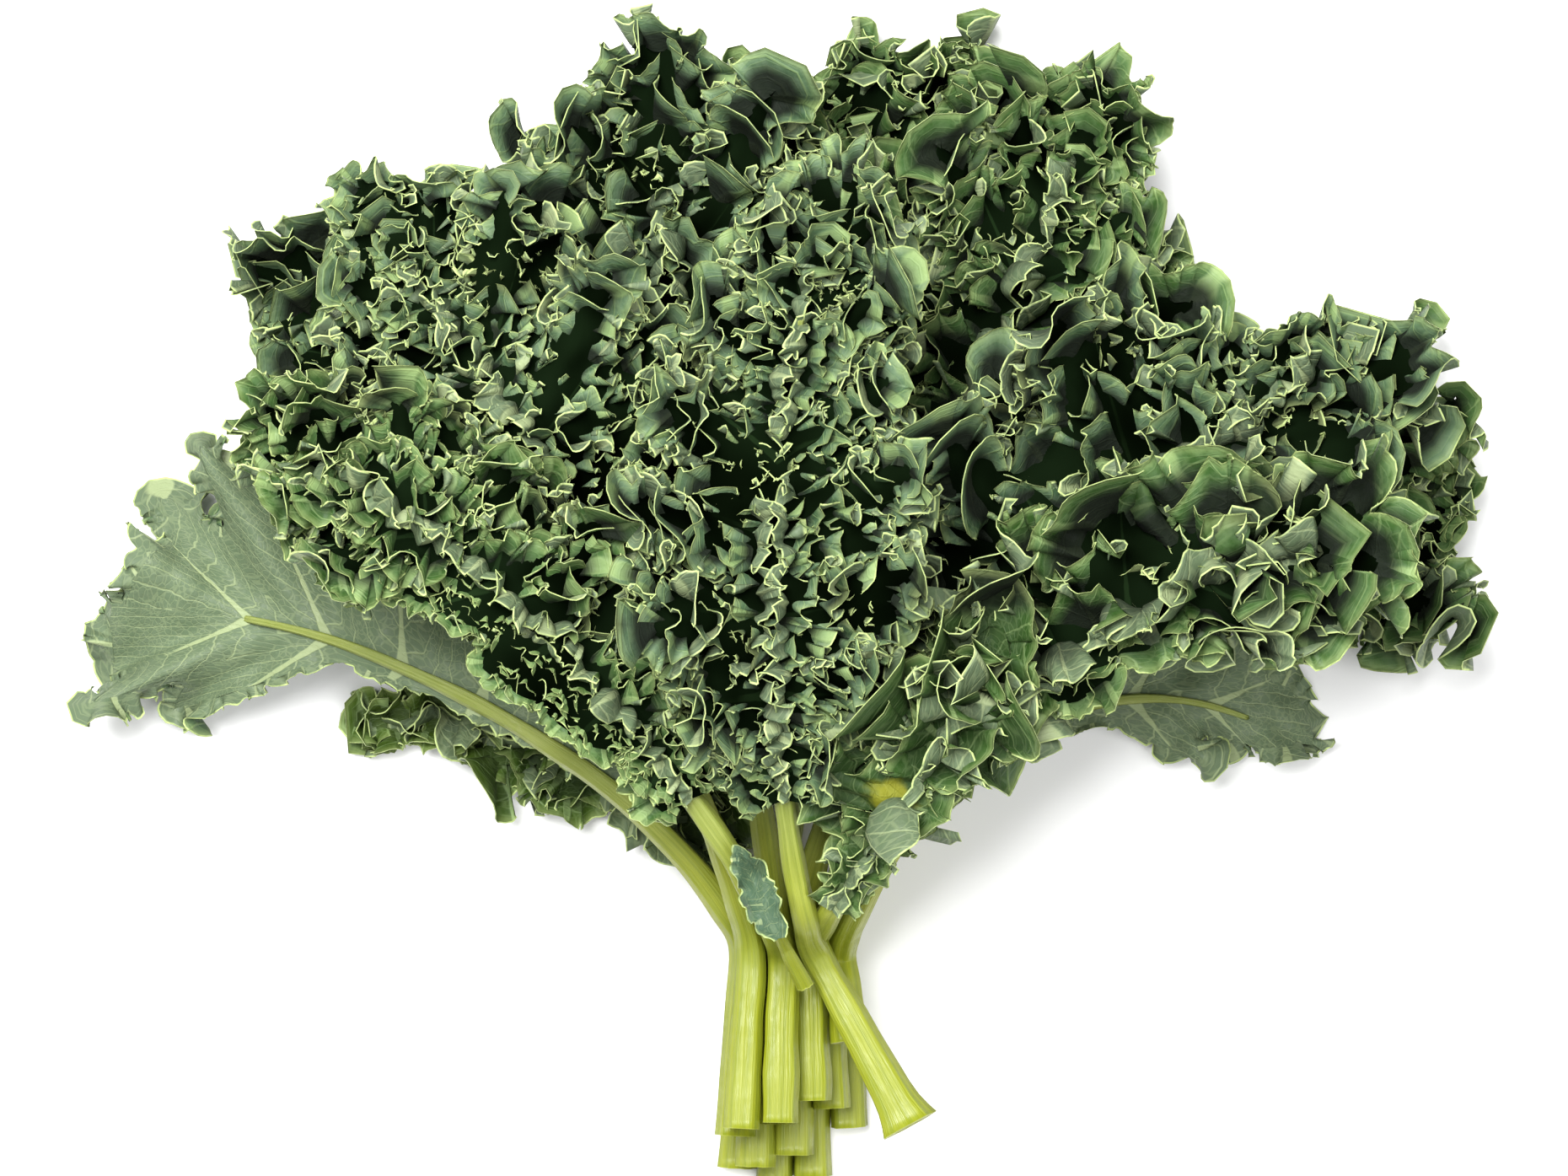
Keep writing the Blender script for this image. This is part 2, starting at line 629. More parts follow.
class Wiring:
    """Adds nodes to one tree and links them."""

    def __init__(self, tree: bpy.types.NodeTree) -> None:
        """Keeps the tree."""
        self.tree = tree

    def feed(self, socket: bpy.types.NodeSocket, value: object) -> None:
        """Links a socket to another, or sets it to a plain value.

        Args:
            socket: the input.
            value: a socket, a plain value, or None to leave the input as it is.
        """
        if isinstance(value, bpy.types.NodeSocket):
            self.tree.links.new(value, socket)
        elif value is not None:
            socket.default_value = value

    def math(
        self, operation: str, first: object, second: object = None, third: object = None
    ) -> bpy.types.NodeSocket:
        """A sum.

        Args:
            operation: the name of the sum.
            first: its first number or socket.
            second: its second one.
            third: its third one.

        Returns:
            The result.
        """
        node = self.tree.nodes.new("ShaderNodeMath")
        node.operation = operation
        for socket, value in zip(node.inputs, (first, second, third)):
            self.feed(socket, value)
        return node.outputs[0]

    def times(self, first: object, second: object) -> bpy.types.NodeSocket:
        """The product of two numbers or sockets."""
        return self.math("MULTIPLY", first, second)

    def step(
        self, value: object, low: object, high: object, to_low: float = 0.0, to_high: float = 1.0
    ) -> bpy.types.NodeSocket:
        """A smooth step.

        Args:
            value: what is stepped.
            low: where the step begins.
            high: where it ends.
            to_low: the result up to its beginning.
            to_high: the result from its end.

        Returns:
            The result.
        """
        node = self.tree.nodes.new("ShaderNodeMapRange")
        node.interpolation_type = "SMOOTHSTEP"
        labels = ("Value", "From Min", "From Max", "To Min", "To Max")
        for label, given in zip(labels, (value, low, high, to_low, to_high)):
            self.feed(node.inputs[label], given)
        return node.outputs["Result"]

    def mix(self, share: object, first: object, second: object) -> bpy.types.NodeSocket:
        """A blend of two colours.

        Args:
            share: how much of the second shows.
            first: the first colour.
            second: the second colour.

        Returns:
            The blend.
        """
        node = self.tree.nodes.new("ShaderNodeMix")
        node.data_type = "RGBA"
        self.feed(node.inputs[0], share)
        self.feed(node.inputs[6], first)
        self.feed(node.inputs[7], second)
        return node.outputs[2]

    def tinted(
        self, base: object, mask: object, most: float, skin: tuple[float, float, float]
    ) -> bpy.types.NodeSocket:
        """A colour with a skin's screen values laid over it, by most where a mask is 1."""
        return self.mix(self.times(mask, most), base, srgb(*skin))

    def noise(
        self, vector: object, scale: object, detail: float = 2.0, rough: float = 0.5
    ) -> bpy.types.NodeSocket:
        """Soft noise.

        Args:
            vector: the place.
            scale: swings for each unit of the place.
            detail: how many finer orders it has.
            rough: how strong they are.

        Returns:
            From 0 to 1.
        """
        node = self.tree.nodes.new("ShaderNodeTexNoise")
        self.feed(node.inputs["Vector"], vector)
        self.feed(node.inputs["Scale"], scale)
        node.inputs["Detail"].default_value = detail
        node.inputs["Roughness"].default_value = rough
        return node.outputs["Fac"]

    def uv(self, name: str) -> tuple[bpy.types.NodeSocket, bpy.types.NodeSocket, bpy.types.NodeSocket]:
        """A UV map.

        Args:
            name: the map's name.

        Returns:
            Its vector and the vector's two parts.
        """
        node = self.tree.nodes.new("ShaderNodeUVMap")
        node.uv_map = name
        parts = self.tree.nodes.new("ShaderNodeSeparateXYZ")
        self.feed(parts.inputs[0], node.outputs[0])
        return node.outputs[0], parts.outputs[0], parts.outputs[1]

    def away(self, place: object, x: float, y: float) -> bpy.types.NodeSocket:
        """How far a place is from an upright line.

        Args:
            place: the place, in metres.
            x: where the line stands.
            y: where the line stands.

        Returns:
            The distance, in metres.
        """
        parts = self.tree.nodes.new("ShaderNodeSeparateXYZ")
        self.feed(parts.inputs[0], place)
        across = self.math("POWER", self.math("SUBTRACT", parts.outputs[0], x), 2.0)
        on = self.math("POWER", self.math("SUBTRACT", parts.outputs[1], y), 2.0)
        return self.math("SQRT", self.math("ADD", across, on))

    def place(self) -> bpy.types.NodeSocket:
        """The place on the object, in metres."""
        return self.tree.nodes.new("ShaderNodeTexCoord").outputs["Object"]

    def group(self, group: bpy.types.ShaderNodeTree, **inputs: object) -> dict[str, bpy.types.NodeSocket]:
        """Places a group and feeds it.

        Args:
            group: the group.
            inputs: its inputs, with underscores in their labels for spaces.

        Returns:
            Its outputs by label.
        """
        node = self.tree.nodes.new("ShaderNodeGroup")
        node.node_tree = group
        for label, value in inputs.items():
            self.feed(node.inputs[label.replace("_", " ")], value)
        return {socket.name: socket for socket in node.outputs}

    def put_out(
        self, group: bpy.types.ShaderNodeTree, **outputs: bpy.types.NodeSocket
    ) -> bpy.types.ShaderNodeTree:
        """Feeds a group's outputs.

        Args:
            group: the group, which is this wiring's tree.
            outputs: what each of its outputs gives, by label.

        Returns:
            The group.
        """
        for label, value in outputs.items():
            self.feed(group.nodes["Group Output"].inputs[label], value)
        return group

    def bump(self, height: object, strength: float, distance: float) -> bpy.types.NodeSocket:
        """A normal that follows a height.

        Args:
            height: the height, from 0 to 1.
            strength: how strongly it shows.
            distance: how high 1 is, in metres.

        Returns:
            The normal.
        """
        node = self.tree.nodes.new("ShaderNodeBump")
        node.inputs["Strength"].default_value = strength
        node.inputs["Distance"].default_value = distance
        self.feed(node.inputs["Height"], height)
        return node.outputs[0]


class Effects:
    """The node groups that more than one finish uses, each built once."""

    def __init__(self) -> None:
        """Builds the groups."""
        self.veins = self.make_veins()
        self.patches = self.make_patches()
        self.fibres = self.make_fibres()

    def make_veins(self) -> bpy.types.ShaderNodeTree:
        """Masks of the side veins, their branches and the net between them.

        Returns:
            The group. It takes millimetres across a side vein and along it.
        """
        group = add_group(
            "leaf_veins",
            {"Across": 0.0, "Along": 0.0, "Width": 0.5, "Branch Pitch": 8.0, "Net Pitch": 2.4},
            {"Main": "NodeSocketFloat", "Branch": "NodeSocketFloat", "Net": "NodeSocketFloat"},
        )
        wire = Wiring(group)
        given = group.nodes["Group Input"].outputs
        place = group.nodes.new("ShaderNodeCombineXYZ")
        wire.feed(place.inputs[0], given["Across"])
        wire.feed(place.inputs[1], given["Along"])
        sway = wire.math("MULTIPLY_ADD", wire.noise(place.outputs[0], 0.12, 2.0), 5.0, -2.5)
        bent = wire.math("ABSOLUTE", wire.math("ADD", given["Across"], wire.times(sway, 0.3)))
        main = wire.step(bent, given["Width"], wire.math("ADD", given["Width"], 0.35), 1.0, 0.0)
        slanted = wire.math("ADD", wire.math("MULTIPLY_ADD", given["Across"], -1.15, given["Along"]), sway)
        turns = wire.math("FRACT", wire.math("DIVIDE", slanted, given["Branch Pitch"]))
        offset = wire.times(wire.math("ABSOLUTE", wire.math("SUBTRACT", turns, 0.5)), given["Branch Pitch"])
        branch = wire.step(offset, 0.16, 0.5, 1.0, 0.0)
        cells = group.nodes.new("ShaderNodeTexVoronoi")
        cells.feature = "DISTANCE_TO_EDGE"
        wire.feed(cells.inputs["Vector"], place.outputs[0])
        wire.feed(cells.inputs["Scale"], wire.math("DIVIDE", 1.0, given["Net Pitch"]))
        net = wire.step(cells.outputs["Distance"], 0.02, 0.13, 1.0, 0.0)
        return wire.put_out(group, Main=main, Branch=branch, Net=net)

    def make_patches(self) -> bpy.types.ShaderNodeTree:
        """Broad and small patches that vary a colour, from 0 to 1.

        Returns:
            The group. Its scales are patches per metre.
        """
        group = add_group(
            "colour_patches",
            {"Broad Scale": 14.0, "Small Scale": 160.0, "Seed": 0.0},
            {"Broad": "NodeSocketFloat", "Small": "NodeSocketFloat"},
        )
        wire = Wiring(group)
        given = group.nodes["Group Input"].outputs
        shift = group.nodes.new("ShaderNodeVectorMath")
        shift.operation = "ADD"
        wire.feed(shift.inputs[0], wire.place())
        wire.feed(shift.inputs[1], given["Seed"])
        broad = wire.step(wire.noise(shift.outputs[0], given["Broad Scale"], 2.0), 0.34, 0.66)
        small = wire.step(wire.noise(shift.outputs[0], given["Small Scale"], 3.0, 0.6), 0.3, 0.7)
        return wire.put_out(group, Broad=broad, Small=small)

    def make_fibres(self) -> bpy.types.ShaderNodeTree:
        """Lengthwise fibres of a stalk, as a height and a mask.

        Returns:
            The group. It takes the turn round the stalk and millimetres along it.
        """
        group = add_group(
            "stalk_fibres",
            {"Turn": 0.0, "Along": 0.0, "Count": 46.0},
            {"Height": "NodeSocketFloat", "Streak": "NodeSocketFloat"},
        )
        wire = Wiring(group)
        given = group.nodes["Group Input"].outputs
        place = group.nodes.new("ShaderNodeCombineXYZ")
        wire.feed(place.inputs[0], wire.times(given["Turn"], given["Count"]))
        wire.feed(place.inputs[1], wire.times(given["Along"], 0.035))
        fine = wire.noise(place.outputs[0], 1.0, 3.0, 0.6)
        streak = wire.step(wire.noise(place.outputs[0], 0.35, 2.0), 0.35, 0.68)
        return wire.put_out(group, Height=fine, Streak=streak)


def srgb(red: float, green: float, blue: float) -> tuple[float, float, float, float]:
    """A skin's colour in a picture whose white paper is blown out.

    Args:
        red: its screen value, from 0 to 255.
        green: its screen value.
        blue: its screen value.

    Returns:
        The linear colour, with alpha.
    """
    parts = [c / 255 for c in (red, green, blue)]
    linear = [p / 12.92 if p <= 0.04045 else ((p + 0.055) / 1.055) ** 2.4 for p in parts]
    return (*(EXPOSED * part for part in linear), 1.0)


def new_material(name: str) -> tuple[bpy.types.Material, Wiring, bpy.types.Node]:
    """A new material.

    Args:
        name: the material's name.

    Returns:
        The material, its wiring and its shader.
    """
    material = bpy.data.materials.new(name)
    material.use_nodes = True
    shader = material.node_tree.nodes["Principled BSDF"]
    return material, Wiring(material.node_tree), shader


@dataclass(frozen=True)
class LeafFinish:
    """The skin of a blade: two greens, a pale rim, pale veins and a lighter underside.

    It darkens away from the rim, from dark_from to dark_to millimetres, and may have a yellow spot
    at x and y with a radius.
    """

    name: str
    green: tuple[float, float, float]
    second_green: tuple[float, float, float]
    bloom: tuple[float, float, float]
    rim: tuple[float, float, float] = (200, 218, 142)
    vein: tuple[float, float, float] = (142, 168, 108)
    under: tuple[float, float, float] = (103, 119, 91)
    under_vein: tuple[float, float, float] = (160, 174, 128)
    deep: tuple[float, float, float] = (10, 17, 8)
    depth: float = 0.97
    dark_from: float = 2.1
    dark_to: float = 9.2
    yellow: float = 0.0
    yellow_at: tuple[float, float, float] = (26.0, -71.0, 9.0)
    spot: tuple[float, float, float] = (178, 178, 48)

    def make(self, effects: Effects) -> bpy.types.Material:
        """The material.

        Args:
            effects: the shared node groups.

        Returns:
            A material that reads the UV maps "rim" and "veins" of a blade.
        """
        material, wire, shader = new_material(self.name)
        _, hollow, from_rim = wire.uv("rim")
        _, across, along = wire.uv("veins")
        from_rim, across, along = (wire.times(value, UV_SCALE) for value in (from_rim, across, along))
        thin = wire.step(along, 0.0, 60.0, 0.8, 0.3)
        veins = wire.group(effects.veins, Across=across, Along=along, Width=thin)
        patches = wire.group(effects.patches, Broad_Scale=16.0, Small_Scale=190.0)
        upper = wire.mix(patches["Broad"], srgb(*self.green), srgb(*self.second_green))
        upper = wire.tinted(upper, patches["Small"], 0.34, self.bloom)
        for label, most in (("Net", 0.16), ("Branch", 0.4), ("Main", 0.75)):
            upper = wire.tinted(upper, veins[label], most, self.vein)
        if self.yellow:
            upper = self.add_yellow(wire, upper)
        inside = wire.step(from_rim, self.dark_from, self.dark_to, 0.0, self.depth)
        inside = wire.math("MAXIMUM", inside, wire.times(hollow, 0.9 if self.depth else 0.0))
        upper = wire.mix(inside, upper, srgb(*self.deep))
        fade = wire.step(from_rim, 0.3, 3.6, 0.2, 0.0)
        worn = wire.step(patches["Small"], 0.0, 0.7, 0.45, 1.0)
        line = wire.times(wire.step(from_rim, 0.15, 0.6, 0.95, 0.0), worn)
        upper = wire.mix(wire.math("MAXIMUM", fade, line), upper, srgb(*self.rim))
        lower = wire.mix(wire.times(patches["Small"], 0.25), srgb(*self.under), srgb(*self.second_green))
        for label, most in (("Net", 0.22), ("Branch", 0.55), ("Main", 0.9)):
            lower = wire.tinted(lower, veins[label], most, self.under_vein)
        if self.depth > 0.5:
            lower = wire.mix(wire.step(from_rim, 3.0, 12.0, 0.0, self.depth * 0.7), lower, srgb(*self.deep))
        lower = wire.mix(line, lower, srgb(*self.rim))
        behind = material.node_tree.nodes.new("ShaderNodeNewGeometry").outputs["Backfacing"]
        wire.feed(shader.inputs["Base Color"], wire.mix(behind, upper, lower))
        rough = wire.step(patches["Small"], 0.0, 1.0, 0.42, 0.6)
        wire.feed(shader.inputs["Roughness"], wire.math("MULTIPLY_ADD", inside, 0.35, rough))
        raised = wire.math("ADD", veins["Main"], wire.times(veins["Branch"], 0.5))
        raised = wire.math("MULTIPLY_ADD", veins["Net"], 0.25, raised)
        pucker = wire.math("MULTIPLY_ADD", wire.noise(wire.place(), 420.0, 2.0), 0.9, raised)
        wire.feed(shader.inputs["Normal"], wire.bump(pucker, 0.5, 0.0007))
        shader.inputs["Specular IOR Level"].default_value = 0.2
        return material

    def add_yellow(self, wire: Wiring, colour: bpy.types.NodeSocket) -> bpy.types.NodeSocket:
        """Lays the yellow spot over a colour.

        Args:
            wire: the wiring of the material.
            colour: the colour.

        Returns:
            The colour with a spot whose edge is broken by noise.
        """
        x, y, radius = (part * MM for part in self.yellow_at)
        far = wire.away(wire.place(), x, y)
        far = wire.math("MULTIPLY_ADD", wire.noise(wire.place(), 85.0, 3.0), -2.6 * radius, far)
        spot = wire.step(far, -0.9 * radius, -0.2 * radius, self.yellow, 0.0)
        return wire.mix(spot, colour, srgb(*self.spot))


@dataclass(frozen=True)
class DepthFinish:
    """The shaded skin between the frills: matte, near black, with some dark green showing."""

    name: str
    dark: tuple[float, float, float] = (3, 6, 2)
    green: tuple[float, float, float] = (15, 26, 12)
    vein: tuple[float, float, float] = (34, 52, 28)

    def make(self, effects: Effects) -> bpy.types.Material:
        """The material.

        Args:
            effects: the shared node groups.

        Returns:
            A material that reads the UV map "veins" of a blade.
        """
        material, wire, shader = new_material(self.name)
        _, across, along = wire.uv("veins")
        across, along = (wire.times(value, UV_SCALE) for value in (across, along))
        veins = wire.group(effects.veins, Across=across, Along=along, Width=0.5)
        patches = wire.group(effects.patches, Broad_Scale=22.0, Small_Scale=150.0, Seed=2.0)
        green = wire.tinted(srgb(*self.green), veins["Main"], 0.7, self.vein)
        wire.feed(shader.inputs["Base Color"], wire.mix(patches["Broad"], srgb(*self.dark), green))
        shader.inputs["Roughness"].default_value = 0.95
        shader.inputs["Specular IOR Level"].default_value = 0.0
        return material


@dataclass(frozen=True)
class StalkFinish:
    """The skin of a stalk: yellow-green at its foot, paler up the midrib, with fine fibres."""

    name: str
    foot: tuple[float, float, float] = (150, 158, 24)
    middle: tuple[float, float, float] = (158, 166, 50)
    rib: tuple[float, float, float] = (148, 160, 80)
    streak: tuple[float, float, float] = (114, 130, 30)
    pith: tuple[float, float, float] = (178, 186, 82)

    def make(self, effects: Effects) -> bpy.types.Material:
        """The material.

        Args:
            effects: the shared node groups.

        Returns:
            A material that reads the UV map "stalk": the turn, and the distance from the cut end.
        """
        material, wire, shader = new_material(self.name)
        _, turn, along = wire.uv("stalk")
        along = wire.times(along, UV_SCALE)
        fibres = wire.group(effects.fibres, Turn=turn, Along=along)
        patches = wire.group(effects.patches, Broad_Scale=24.0, Small_Scale=210.0, Seed=0.7)
        colour = wire.mix(wire.step(along, 20.0, 95.0), srgb(*self.foot), srgb(*self.middle))
        colour = wire.mix(wire.step(along, 90.0, 150.0), colour, srgb(*self.rib))
        colour = wire.tinted(colour, fibres["Streak"], 0.6, self.streak)
        colour = wire.tinted(colour, patches["Broad"], 0.2, self.pith)
        colour = wire.mix(wire.step(along, 0.02, 0.4, 0.75, 0.0), colour, srgb(*self.pith))
        wire.feed(shader.inputs["Base Color"], colour)
        wire.feed(shader.inputs["Roughness"], wire.step(patches["Small"], 0.0, 1.0, 0.34, 0.5))
        wire.feed(shader.inputs["Normal"], wire.bump(fibres["Height"], 0.55, 0.0009))
        return material


class Palette:
    """All finishes of the bunch."""

    GREENS = {
        Tint.BLUE: LeafFinish("leaf_blue_green", (64, 92, 62), (90, 117, 84), (129, 151, 120)),
        Tint.MID: LeafFinish("leaf_mid_green", (52, 85, 33), (71, 104, 54), (111, 138, 91), dark_to=11.0),
        Tint.DEEP: LeafFinish("leaf_deep_green", (50, 76, 22), (74, 98, 28), (94, 118, 50), depth=0.5),
        Tint.TURNING: LeafFinish("leaf_turning", (48, 80, 30), (62, 94, 42), (90, 116, 66), depth=0.4,
                                 yellow=0.85),
        Tint.PALE: LeafFinish("leaf_pale_underside", (58, 88, 58), (76, 102, 70), (106, 130, 98), depth=0.0),
        Tint.SHADE: LeafFinish("leaf_shaded_underside", (46, 72, 50), (62, 90, 62), (96, 120, 92),
                               under=(74, 100, 76), under_vein=(134, 152, 110), depth=0.0),
    }

    def __init__(self) -> None:
        """Makes the materials."""
        effects = Effects()
        self.leaves = {tint: finish.make(effects) for tint, finish in self.GREENS.items()}
        self.depths = DepthFinish("leaf_depths").make(effects)
        self.stalk = StalkFinish("stalk_green").make(effects)


# Pieces


def write_mesh(
    name: str, points: np.ndarray, faces: list[tuple[int, ...]], maps: dict[str, np.ndarray]
) -> bpy.types.Object:
    """A smooth mesh object from points in millimetres.

    Args:
        name: the object's name.
        points: (point, xyz).
        faces: point numbers of each face.
        maps: for each UV map, two numbers at each point.

    Returns:
        The object, linked to the scene.
    """
    mesh = bpy.data.meshes.new(name)
    mesh.from_pydata((points * MM).tolist(), [], faces)
    corners = np.empty(len(mesh.loops), np.int32)
    mesh.loops.foreach_get("vertex_index", corners)
    for label, values in maps.items():
        layer = mesh.uv_layers.new(name=label)
        layer.data.foreach_set("uv", values[corners].astype(np.float32).ravel())
    mesh.polygons.foreach_set("use_smooth", np.ones(len(mesh.polygons), bool))
    mesh.update()
    piece = bpy.data.objects.new(name, mesh)
    bpy.context.scene.collection.objects.link(piece)
    return piece


def grid_faces(columns: int, rows: int, first: int = 0, closed: bool = False) -> np.ndarray:
    """Four-sided faces between neighbouring columns of points.

    Args:
        columns: how many columns there are.
        rows: how many points a column has.
        first: the number of the first point.
        closed: whether the last row joins the first.

    Returns:
        Point numbers, four a face.
    """
    row_steps = rows if closed else rows - 1
    a = (np.arange(columns - 1)[:, None] * rows + np.arange(row_steps)[None, :]).ravel()
    on = (np.arange(columns - 1)[:, None] * rows + (np.arange(row_steps)[None, :] + 1) % rows).ravel()
    return np.stack([a, on, on + rows, a + rows], 1) + first


class Ceiling:
    """How high a leaf may rise at each place before it meets the leaf that lies over it."""

    CELL = 2.0  # the side of a cell
    HALF = 280.0  # half the side of the whole grid
    GAP = 0.9  # what stays free under a leaf
    HIDE = 14.0  # how far in from its margin a leaf hides what is under it
    OPEN = 1e6  # the height where nothing is overhead

    def __init__(self) -> None:
        """Starts with nothing overhead."""
        cells = int(2 * self.HALF / self.CELL)
        self.heights = np.full((cells, cells), self.OPEN)

    def cells(self, points: np.ndarray) -> tuple[np.ndarray, np.ndarray]:
        """The cells that points are in.

        Args:
            points: points in millimetres.

        Returns:
            The cell's number along x and along y, for each point.
        """
        index = ((points[..., :2] + self.HALF) / self.CELL).astype(int)
        index = np.clip(index, 0, len(self.heights) - 1)
        return index[..., 0], index[..., 1]

    def press(self, points: np.ndarray) -> None:
        """Lowers points that would come through what is overhead."""
        points[..., 2] = np.minimum(points[..., 2], self.heights[self.cells(points)])

    def covers(self, points: np.ndarray) -> np.ndarray:
        """Whether points are well inside what is overhead, so that nobody sees them.

        Args:
            points: points in millimetres.

        Returns:
            True or False for each.
        """
        covered = self.heights < self.OPEN / 10
        reach = int(self.HIDE / self.CELL)
        inside = covered.copy()
        near = reach // 2
        ways = [(reach, 0), (-reach, 0), (0, reach), (0, -reach)]
        ways += [(near, near), (-reach // 2, near), (near, -reach // 2), (-reach // 2, -reach // 2)]
        for way in ways:
            inside &= np.roll(covered, way, (0, 1))
        return inside[self.cells(points)]

    def add(self, points: np.ndarray) -> None:
        """Puts a surface overhead of the leaves that are built later."""
        np.minimum.at(self.heights, self.cells(points), points[..., 2] - self.GAP)


@dataclass
class Blade:
    """The blade of one leaf: an inner sheet, and the frilled bands that stand on it and round it."""

    shape: LeafShape
    ceiling: Ceiling
    inner_rows: tuple[float, ...] = (0, 0.1, 0.2, 0.3, 0.4, 0.5, 0.6, 0.7, 0.8, 0.9, 1.0)
    band_rows: tuple[float, ...] = (0, 0.2, 0.4, 0.6, 0.78, 0.92, 1.0)
    inner_spacing: float = 2.6
    root: float = 1.6
    lip: float = 0.38
    floor_gap: float = 5.0
    pucker: float = 1.1
    inner_from_rim: float = 20.0
    usual_half_width: float = 36.0
    least_trim: float = 0.4
    over_rib_at: float = 0.1
    over_rib_turn: tuple[float, float] = (112, 150)

    def __post_init__(self) -> None:
        """Reads the plain blade."""
        self.knots = self.shape.plain_blade()
        self.last = 2 * self.shape.stations
        self.frill = FRILLS[self.shape.plan.curl]

    def lobes(self, at: np.ndarray) -> np.ndarray:
        """How far the inner sheet reaches.

        Args:
            at: stations.

        Returns:
            A share of the plain width at each.
        """
        rng = np.random.default_rng(self.shape.number)
        lobes = at / self.frill.lobe
        cuts = rng.uniform(*self.frill.notch, int(self.last / self.frill.lobe) + 3)
        near = np.round(lobes).astype(int)
        gap = np.abs(lobes - near) * 2
        keep = smooth(0.6, 2.4, np.abs(at - self.shape.stations))
        keep = keep * smooth(0.5, 4.0, np.minimum(at, self.last - at))
        reach = (1 - 0.68 * self.frill.height / self.shape.plan.half_width) * self.trim(at)
        return reach * (1 - cuts[near] * (1 - smooth(0.0, 0.6, gap)) * keep)

    def trim(self, at: np.ndarray) -> np.ndarray:
        """How much wider or narrower than the plain blade it is made.

        Args:
            at: stations.

        Returns:
            A factor at each, 1 where no trim of the leaf's plan reaches.
        """
        stations = self.shape.stations
        side = np.where(at > stations, 1, -1)
        share = np.where(at > stations, self.last - at, at) / stations
        factors = np.ones_like(at, dtype=float)
        for on_side, start, end, factor in self.shape.plan.trims:
            inside = smooth(start - 0.12, start + 0.03, share) * (1 - smooth(end - 0.03, end + 0.12, share))
            factors = factors * (1 + (factor - 1) * inside * (side == on_side))
        return factors

    def line(self, share: float, spacing: float) -> tuple[np.ndarray, np.ndarray]:
        """Stations at even steps along a line that runs round the blade.

        Args:
            share: how far out the line runs, 1 at the margin.
            spacing: the step.

        Returns:
            The station of each step, and its distance along the line.
        """
        dense = np.linspace(0, self.last, 12001)
        edge = across_rows(along_knots(self.knots, dense), (share * self.lobes(dense))[:, None])[:, 0]
        length = np.concatenate([[0], np.cumsum(np.linalg.norm(np.diff(edge, axis=0), axis=1))])
        along = np.linspace(0, length[-1], max(int(length[-1] / spacing), 12))
        return np.interp(along, length, dense), along

    def width(self, at: np.ndarray) -> np.ndarray:
        """How far the plain blade reaches from the midrib at each station."""
        widths = np.linalg.norm(self.knots[:, -1] - self.knots[:, 0], axis=1)
        return np.interp(at, np.arange(self.last + 1), widths)

    def surface(self, at: np.ndarray, shares: np.ndarray, phases: np.ndarray) -> np.ndarray:
        """Points of the puckered inner surface.

        Args:
            at: the station of each column.
            shares: shares of the way to the margin, as (column, row).
            phases: what the puckers start from.

        Returns:
            Points as (column, row, xyz).
        """
        points = across_rows(along_knots(self.knots, at), shares)
        place = points[..., :2].copy()
        rise = self.pucker * smooth(0.05, 0.4, shares)
        for number, phase in enumerate(phases):
            turn, pitch = phase * 2.4, 9 + 17 * ((phase * 1.7) % 1)
            way = place @ np.array([math.cos(turn), math.sin(turn)])
            points[..., 2] += rise * 0.55 * np.sin(2 * math.pi * way / pitch + phase + number)
        return points

    def vein_map(self, at: np.ndarray, shares: np.ndarray) -> np.ndarray:
        """The veins' map of the inner sheet.

        Args:
            at: the station of each column.
            shares: shares of the way to the margin, as (column, row).

        Returns:
            Millimetres across the nearest side vein and out from the midrib, at each point.
        """
        side_vein = COLUMNS_PER_WAVE * (np.floor(at / COLUMNS_PER_WAVE) + 0.5)
        steps = np.linalg.norm(np.diff(self.knots[:, -1], axis=0), axis=1)
        spacing = np.interp(at, np.arange(self.last), steps)
        thin = min(1.0, self.shape.plan.half_width / self.usual_half_width) ** 2
        across = (np.abs(at - side_vein) * spacing)[:, None] * (0.15 + 0.85 * shares) / thin
        return np.stack([across, self.width(at)[:, None] * shares], -1)

    def make_inner(self, phases: np.ndarray) -> tuple[Sheet, dict[str, np.ndarray]]:
        """The inner sheet.

        Args:
            phases: what its puckers start from.

        Returns:
            The sheet and its UV maps.
        """
        at, along = self.line(1.0, self.inner_spacing)
        rows = np.array(self.inner_rows)
        shares = self.lobes(at)[:, None] * rows[None, :]
        sheet = Sheet(self.surface(at, shares, phases), along, rows)
        rim = np.stack([UV_SCALE * openness(sheet.points), np.full(shares.shape, self.inner_from_rim)], -1)
        return sheet, {"rim": rim, "veins": self.vein_map(at, shares)}

